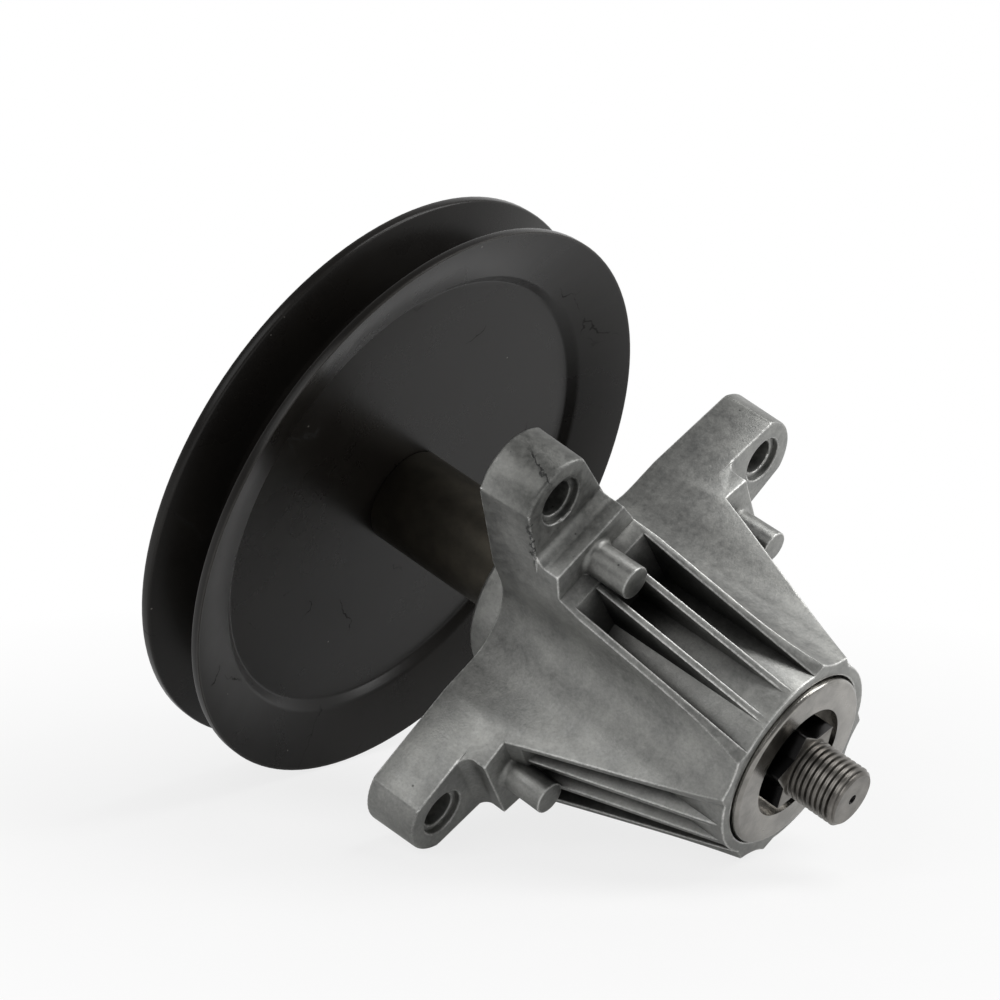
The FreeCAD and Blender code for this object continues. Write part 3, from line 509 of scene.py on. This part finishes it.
def stud_blank(name, foot, top, nose):
    """A round blank with a chamfered end at the nose and a centre-drill mark in it."""
    bpy.ops.object.select_all(action="DESELECT")
    radius = THREAD_RADIUS + BLANK_MARGIN
    middle = (0, 0, (foot + top) / 2)
    bpy.ops.mesh.primitive_cylinder_add(vertices=96, radius=radius, depth=top - foot, location=middle)
    blank = bpy.context.object
    blank.name = name
    bpy.ops.object.transform_apply(location=True, rotation=True, scale=True)
    break_edges(blank, THREAD_CHAMFER, 1, lambda edge: all(abs(v.co.z - nose) < LEVEL for v in edge.verts))
    bpy.ops.object.mode_set(mode="EDIT")
    bpy.ops.mesh.select_mode(type="FACE")
    bpy.ops.mesh.select_all(action="DESELECT")
    shell = bmesh.from_edit_mesh(blank.data)
    for face in shell.faces:
        face.select_set(abs(face.calc_center_median().z - nose) < LEVEL)
    bmesh.update_edit_mesh(blank.data)
    bpy.ops.mesh.inset(thickness=radius - THREAD_CHAMFER - CENTRE_MARK_RADIUS)
    inward = CENTRE_MARK_DEPTH if nose == foot else -CENTRE_MARK_DEPTH
    bpy.ops.mesh.extrude_region_move(TRANSFORM_OT_translate={"value": (0, 0, inward)})
    point = (CENTRE_MARK_POINT, CENTRE_MARK_POINT, 1)
    bpy.ops.transform.resize(value=point, center_override=(0, 0, nose))
    bpy.ops.object.mode_set(mode="OBJECT")
    return blank


def star_face_edge(edge):
    """True for the star's outline on its front face."""
    on_face = all(abs(v.co.z - STAR_FACE) < LEVEL for v in edge.verts)
    off_stud = max(v.co.xy.length for v in edge.verts) > THREAD_RADIUS + BLANK_MARGIN
    return on_face and off_stud and edge.calc_face_angle_signed(0) > SHARP_ANGLE


bright_steel = turned_steel("turned_carbon_steel", "#6a6763", "#918e89", 0.34)
# Near-black steel for the star's flanks, also used as painted shade in the centre-drill mark.
dark_star_and_mark_shade = black_oxide_steel("dark_star_steel_and_mark_shade", "#0d0d0d", "#1d1c1c", 0.24)
shaft = skin_of("spindle_shaft")
shaft.data.materials.append(bright_steel)
shaft.data.materials.append(dark_star_and_mark_shade)
cut_below(shaft, STAR_FACE - STAR_LAP)
cut_above(shaft, NUT_TOP - THREAD_LAP)
for face in shaft.data.polygons:
    on_star = face.center.z < STAR_ROOT and face.center.xy.length > THREAD_RADIUS + STAR_MARGIN
    if on_star and face.normal.z > STAR_FRONT_TILT:
        face.material_index = 1
break_edges(shaft, STAR_EDGE_BREAK, 2, star_face_edge)
smooth(shaft, 30)
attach(shaft, "rotor")
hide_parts("spindle_shaft")

blade_thread = rolled_thread("blade_stud_thread", STUD_END, STAR_FACE)
trim_to(blade_thread, stud_blank("stud_blank", STUD_END, STAR_FACE + BLANK_SPARE, STUD_END))
blade_thread.data.materials.append(bright_steel)
blade_thread.data.materials.append(dark_star_and_mark_shade)
# The centre-drill mark at the stud's end takes the near-black steel: painted shade in the hole.
for face in blade_thread.data.polygons:
    if face.center.xy.length < CENTRE_MARK_RADIUS:
        face.material_index = 1
smooth(blade_thread, 24)
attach(blade_thread, "rotor")

thread_foot = NUT_TOP - THREAD_LAP
pulley_thread = rolled_thread("pulley_stud_thread", thread_foot, SHAFT_TOP)
trim_to(pulley_thread, stud_blank("top_blank", thread_foot - BLANK_SPARE, SHAFT_TOP, SHAFT_TOP))
pulley_thread.data.materials.append(bright_steel)
smooth(pulley_thread, 24)
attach(pulley_thread, "rotor")

dress("bearing_spacer", bright_steel)

# Blade disc: turned from steel and clamped between the star and the lower bearing, so that the blade seats
# on its bright face. It runs inside the housing's foot with a narrow gap round it.
disc = skin_of("blade_disc")
disc.data.materials.append(turned_steel("faced_carbon_steel", "#84827e", "#a5a29d", 0.2))
smooth(disc, 30)
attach(disc, "rotor")
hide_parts("blade_disc")

# Pulley spacer: a thick tube cut from steel bar and blackened. It stands on the upper bearing's inner race
# and carries the pulley, which the nut clamps down on it.
TUBE_EDGE_BREAK = 0.5 * MM

pulley_spacer = skin_of("pulley_spacer")
pulley_spacer.data.materials.append(black_oxide_steel("black_oxide_tube", "#38352f", "#454139", 0.46))
break_edges(pulley_spacer, TUBE_EDGE_BREAK, 2, lambda edge: edge.calc_face_angle_signed(0) > 2 * SHARP_ANGLE)
smooth(pulley_spacer, 30)
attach(pulley_spacer, "rotor")
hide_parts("pulley_spacer")

# V-belt pulley: two discs stamped from sheet steel, laid back to back and painted satin black, with the
# belt's groove between their flared rims. Handling has left specks and hairline scratches in the paint.
PULLEY_RIM = 73.0 * MM
RIM_BREAK = 0.5 * MM
RIM_ANGLE = 0.4
PULLEY_MIDDLE = 52.9 * MM
FLANGE_RISE = 5.0 * MM
STEP_INNER_RADIUS = 57.5 * MM
STEP_OUTER_RADIUS = 60.5 * MM
STEP_ROOT = 1.45 * MM
STEP_SPREAD = 1.016
STEP_SINK = 0.8 * MM
PAINT_CLOUD = 28.0
PAINT_RELIEF = 0.06 * MM
ORANGE_PEEL = 1.1
PAINT_SPECK = 5.0
PAINT_HAIRLINE_CELL = 24.0
PAINT_HAIRLINE_BEND = 7.0
PAINT_HAIRLINE_SWAY = 9.0 * MM


def satin_black_paint():
    """Black enamel sprayed on steel sheet and baked: brown-black and satin, with a slight orange peel, dust
    specks, a few hairline cracks, and paler rims where the paint is rubbed thin."""
    material, tree, shader = new_finish("satin_black_enamel", IOR=1.45, Specular_IOR_Level=0.25)
    where = add(tree, "TexCoord", {})["Object"]
    peel = add(tree, "TexNoise", {"Vector": where, "Scale": per(ORANGE_PEEL), "Detail": 2.0})
    clouds = {"Vector": where, "Scale": per(PAINT_CLOUD), "Detail": 5.0, "Roughness": 0.6}
    cloud = add(tree, "TexNoise", clouds)
    blacks = {0: cloud["Fac"], 6: linear("#110f0e"), 7: linear("#1f1d1a")}
    colour = add(tree, "Mix", blacks, data_type="RGBA")[2]

    speck = add(tree, "TexVoronoi", {"Vector": where, "Scale": per(PAINT_SPECK)})
    dot = add(tree, "MapRange", {0: speck["Distance"], 1: 0.03, 2: 0.06, 3: 0.8, 4: 0.0})[0]
    chosen = add(tree, "Math", {0: speck["Color"], 1: 0.8}, operation="GREATER_THAN")[0]
    dust = add(tree, "Math", {0: dot, 1: chosen}, operation="MULTIPLY")[0]
    colour = add(tree, "Mix", {0: dust, 6: colour, 7: linear("#8d8a84")}, data_type="RGBA")[2]

    bend = add(tree, "TexNoise", {"Vector": where, "Scale": per(PAINT_HAIRLINE_BEND), "Detail": 4.0})["Color"]
    sway = {0: bend, 1: [PAINT_HAIRLINE_SWAY] * 3, 2: where}
    crooked = add(tree, "VectorMath", sway, operation="MULTIPLY_ADD")[0]
    cells = {"Vector": crooked, "Scale": per(PAINT_HAIRLINE_CELL)}
    cell = add(tree, "TexVoronoi", cells, feature="DISTANCE_TO_EDGE")["Distance"]
    line = add(tree, "MapRange", {0: cell, 1: 0.003, 2: 0.011, 3: 1.0, 4: 0.0})[0]
    patch = add(tree, "MapRange", {0: cloud["Fac"], 1: 0.58, 2: 0.64, 3: 0.0, 4: 0.4})[0]
    hairline = add(tree, "Math", {0: line, 1: patch}, operation="MULTIPLY")[0]
    colour = add(tree, "Mix", {0: hairline, 6: colour, 7: linear("#050505")}, data_type="RGBA")[2]

    worn = add(tree, "Math", {0: edge_wear_and_sheen(tree, EDGE_WEAR_AND_SHEEN_REACH), 1: cloud["Fac"]}, operation="MULTIPLY")[0]
    worn = add(tree, "Math", {0: worn, 1: 0.4}, operation="MULTIPLY")[0]
    colour = add(tree, "Mix", {0: worn, 6: colour, 7: linear("#8a8783")}, data_type="RGBA")[2]
    tree.links.new(colour, shader.inputs["Base Color"])

    gloss = add(tree, "MapRange", {0: cloud["Fac"], 1: 0.3, 2: 0.7, 3: 0.24, 4: 0.34})[0]
    gloss = add(tree, "Math", {0: gloss, 1: hairline}, operation="ADD")[0]
    tree.links.new(gloss, shader.inputs["Roughness"])
    relief = add(tree, "Bump", {"Height": peel["Fac"], "Strength": 0.12, "Distance": PAINT_RELIEF})[0]
    tree.links.new(relief, shader.inputs["Normal"])
    return material


def spread_step(pressing):
    """Ease and deepen the step round the web, which the press leaves soft, by drawing its outer bend outwards
    and away from the other half on both sides of the sheet."""
    only(pressing)
    bpy.ops.object.mode_set(mode="EDIT")
    bpy.ops.mesh.select_mode(type="VERT")
    bpy.ops.mesh.select_all(action="DESELECT")
    shell = bmesh.from_edit_mesh(pressing.data)
    for corner in shell.verts:
        out = corner.co.xy.length
        on_step = STEP_INNER_RADIUS < out < STEP_OUTER_RADIUS
        corner.select_set(on_step and abs(corner.co.z - PULLEY_MIDDLE) > STEP_ROOT)
    bmesh.update_edit_mesh(pressing.data)
    bpy.ops.transform.resize(value=(STEP_SPREAD, STEP_SPREAD, 1), center_override=(0, 0, 0))
    is_lower_half = pressing.bound_box[0][2] < PULLEY_MIDDLE - FLANGE_RISE
    outwards = -STEP_SINK if is_lower_half else STEP_SINK
    bpy.ops.transform.translate(value=(0, 0, outwards))
    bpy.ops.object.mode_set(mode="OBJECT")


def rim_edge(edge):
    """True for the two sharp edges of a pressing's rim."""
    at_rim = all(v.co.xy.length > PULLEY_RIM - RIM_BREAK for v in edge.verts)
    return at_rim and edge.calc_face_angle_signed(0) > RIM_ANGLE


enamel = satin_black_paint()
for half in ("lower_pulley_half", "upper_pulley_half"):
    pressing = skin_of(half)
    pressing.data.materials.append(enamel)
    spread_step(pressing)
    break_edges(pressing, RIM_BREAK, 3, rim_edge)
    smooth(pressing, 30)
    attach(pressing, "rotor")
    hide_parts(half)

# Pulley nut: a hexagon flange nut, cold-forged from steel and zinc-plated. It screws on the shaft's upper
# thread and clamps the pulley, the spacers and the inner races against the blade disc.
NUT_EDGE_BREAK = 0.3 * MM
NUT_CORNER_HEIGHT = 5.0 * MM
NUT_FLANGE_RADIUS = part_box("pulley_nut")[1].x
NUT_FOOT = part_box("pulley_nut")[0].z
ZINC_CLOUD = 3.0


def bright_zinc():
    """Zinc plate on steel: pale, faintly blue and glossy, with a mottled passivation."""
    material, tree, shader = new_finish("bright_zinc_plate", Metallic=1.0)
    where = add(tree, "TexCoord", {})["Object"]
    cloud = add(tree, "TexNoise", {"Vector": where, "Scale": per(ZINC_CLOUD), "Detail": 3.0})
    greys = {0: cloud["Fac"], 6: linear("#9da1a6"), 7: linear("#c9cbcc")}
    colour = add(tree, "Mix", greys, data_type="RGBA")[2]
    tree.links.new(colour, shader.inputs["Base Color"])
    gloss = add(tree, "MapRange", {0: cloud["Fac"], 1: 0.3, 2: 0.7, 3: 0.22, 4: 0.36})[0]
    tree.links.new(gloss, shader.inputs["Roughness"])
    relief = add(tree, "Bump", {"Height": cloud["Fac"], "Strength": 0.05, "Distance": FINE_RELIEF})[0]
    tree.links.new(relief, shader.inputs["Normal"])
    return material


def nut_edge(edge):
    """True for the hexagon's upright corners and the flange's upper rim."""
    low, high = sorted(corner.co.z for corner in edge.verts)
    on_rim = all(corner.co.xy.length > NUT_FLANGE_RADIUS - SNAP for corner in edge.verts)
    upper_rim = on_rim and low > NUT_FOOT + NUT_EDGE_BREAK and high - low < LEVEL
    return upper_rim or high - low > NUT_CORNER_HEIGHT


nut = skin_of("pulley_nut")
nut.data.materials.append(bright_zinc())
break_edges(nut, NUT_EDGE_BREAK, 2, nut_edge)
smooth(nut, 30)
flats = nut.modifiers.new("flats", "WEIGHTED_NORMAL")
flats.keep_sharp = True
only(nut)
bpy.ops.object.modifier_apply(modifier="flats")
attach(nut, "rotor")
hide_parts("pulley_nut")

# Studio: the spindle lies on a pale table on its pulley's rim and two of its ears, under soft boxes, in front
# of white. The table shows from above only, so that it doesn't hide the spindle from below.
TABLE_UP = Vector((0.654, 0.654, 0.382)).normalized()
TABLE_DEPTH = 51.3 * MM
TABLE_SPOT = -TABLE_UP * TABLE_DEPTH
TABLE_GAP = 0.1 * MM
TABLE_SIDE = 6.0
TABLE_SHADOW_REACH = (0.08, 0.26)
BOARD_GRAIN = 40.0
ROOM_SIDE = Vector((0.957, 0.29, 0.0))
CAMERA_RIGHT = Vector((-0.201828, 0.656951, -0.726416))
CAMERA_DOWN = Vector((-0.525456, -0.698534, -0.485743))
CAMERA_AHEAD = Vector((-0.826536, 0.283663, 0.486183))
CAMERA_PLACE = Vector((0.547866, -0.175888, -0.291770))
SENSOR_MM = 36.0
LENS_MM = 100.8

bpy.ops.object.select_all(action="DESELECT")
bpy.ops.mesh.primitive_plane_add(size=TABLE_SIDE)
table = bpy.context.object
table.name = "table"
lean = TABLE_UP.to_track_quat("Z", "Y").to_matrix().to_4x4()
table.matrix_world = Matrix.Translation(-TABLE_UP * (TABLE_DEPTH + TABLE_GAP)) @ lean
bpy.ops.object.transform_apply(location=True, rotation=True, scale=True)


def white_table():
    """Matt white board, lit as white to the camera, with a faint shadow under the spindle."""
    material = bpy.data.materials.new("matt_white_board")
    material.use_nodes = True
    tree = material.node_tree
    tree.nodes.clear()
    where = add(tree, "TexCoord", {})["Object"]
    grain = add(tree, "TexNoise", {"Vector": where, "Scale": per(BOARD_GRAIN), "Detail": 3.0})
    whites = {0: grain["Fac"], 6: linear("#f4f4f4"), 7: linear("#ffffff")}
    colour = add(tree, "Mix", whites, data_type="RGBA")[2]
    board = add(tree, "BsdfDiffuse", {"Color": colour})[0]
    glow = add(tree, "Emission", {"Color": (1, 1, 1, 1), "Strength": 1.0})[0]
    path = add(tree, "LightPath", {})
    seen = add(tree, "Math", {0: path["Is Camera Ray"], 1: path["Is Glossy Ray"]}, operation="MAXIMUM")[0]
    seen = add(tree, "Math", {0: seen, 1: path["Is Transmission Ray"]}, operation="MAXIMUM")[0]
    close_by = add(tree, "MapRange", {0: path["Is Camera Ray"], 1: 0.0, 2: 1.0, 3: 0.2, 4: 0.8})[0]
    away = add(tree, "VectorMath", {0: where, 1: TABLE_SPOT}, operation="DISTANCE")["Value"]
    near, far = TABLE_SHADOW_REACH
    white = add(tree, "MapRange", {0: away, 1: near, 2: far, 3: close_by, 4: 1.0})[0]
    share = add(tree, "Math", {0: seen, 1: white}, operation="MULTIPLY")[0]
    lit = add(tree, "MixShader", {0: share, 1: board, 2: glow})[0]
    clear = add(tree, "BsdfTransparent", {})[0]
    behind = add(tree, "NewGeometry", {})["Backfacing"]
    shown = add(tree, "MixShader", {0: behind, 1: lit, 2: clear})[0]
    add(tree, "OutputMaterial", {"Surface": shown})
    return material


table.data.materials.append(white_table())

world = bpy.data.worlds.new("studio_white")
bpy.context.scene.world = world
world.use_nodes = True
sky = world.node_tree
sky.nodes.clear()
path = add(sky, "LightPath", {})
heading = add(sky, "TexCoord", {})["Generated"]
facing = add(sky, "VectorMath", {0: heading, 1: ROOM_SIDE}, operation="DOT_PRODUCT")["Value"]
fall = add(sky, "MapRange", {0: facing, 1: -0.3, 2: 0.6, 3: 1.0, 4: 0.25})[0]
indirect = {0: path["Is Glossy Ray"], 1: path["Is Transmission Ray"]}
mirrored = add(sky, "Math", indirect, operation="MAXIMUM")[0]
level = add(sky, "MapRange", {0: mirrored, 1: 0.0, 2: 1.0, 3: 0.4, 4: 1.0})[0]
level = add(sky, "Math", {0: level, 1: fall}, operation="MULTIPLY")[0]
level = add(sky, "Math", {0: level, 1: path["Is Camera Ray"]}, operation="MAXIMUM")[0]
backdrop = add(sky, "Background", {"Color": (1, 1, 1, 1), "Strength": level})[0]
add(sky, "OutputWorld", {"Surface": backdrop})


def soft_box(name, right, up, nearer, width, power):
    """A square soft box, placed from the spindle's middle along the camera's right, the table's up and
    back towards the camera, aimed at the spindle."""
    lamp = bpy.data.lights.new(name, "AREA")
    lamp.size = width
    lamp.energy = power
    box = bpy.data.objects.new(name, lamp)
    bpy.context.scene.collection.objects.link(box)
    box.location = CAMERA_RIGHT * right + TABLE_UP * up - CAMERA_AHEAD * nearer
    box.rotation_euler = box.location.to_track_quat("Z", "Y").to_euler()


soft_box("key_box", right=0.35, up=0.75, nearer=0.05, width=0.4, power=2.4)
soft_box("side_box", right=0.75, up=0.5, nearer=0.0, width=0.4, power=3.0)
soft_box("fill_box", right=-0.42, up=0.4, nearer=0.45, width=0.5, power=1.4)

camera = bpy.data.objects.new("camera", bpy.data.cameras.new("camera"))
bpy.context.scene.collection.objects.link(camera)
camera.data.sensor_width = SENSOR_MM
camera.data.lens = LENS_MM
camera.data.clip_start = 0.01
camera.data.clip_end = 20
turn = Matrix((CAMERA_RIGHT, -CAMERA_DOWN, -CAMERA_AHEAD)).transposed()
camera.matrix_world = Matrix.Translation(CAMERA_PLACE) @ turn.to_4x4()
bpy.context.scene.camera = camera
bpy.context.scene.view_settings.view_transform = "Standard"
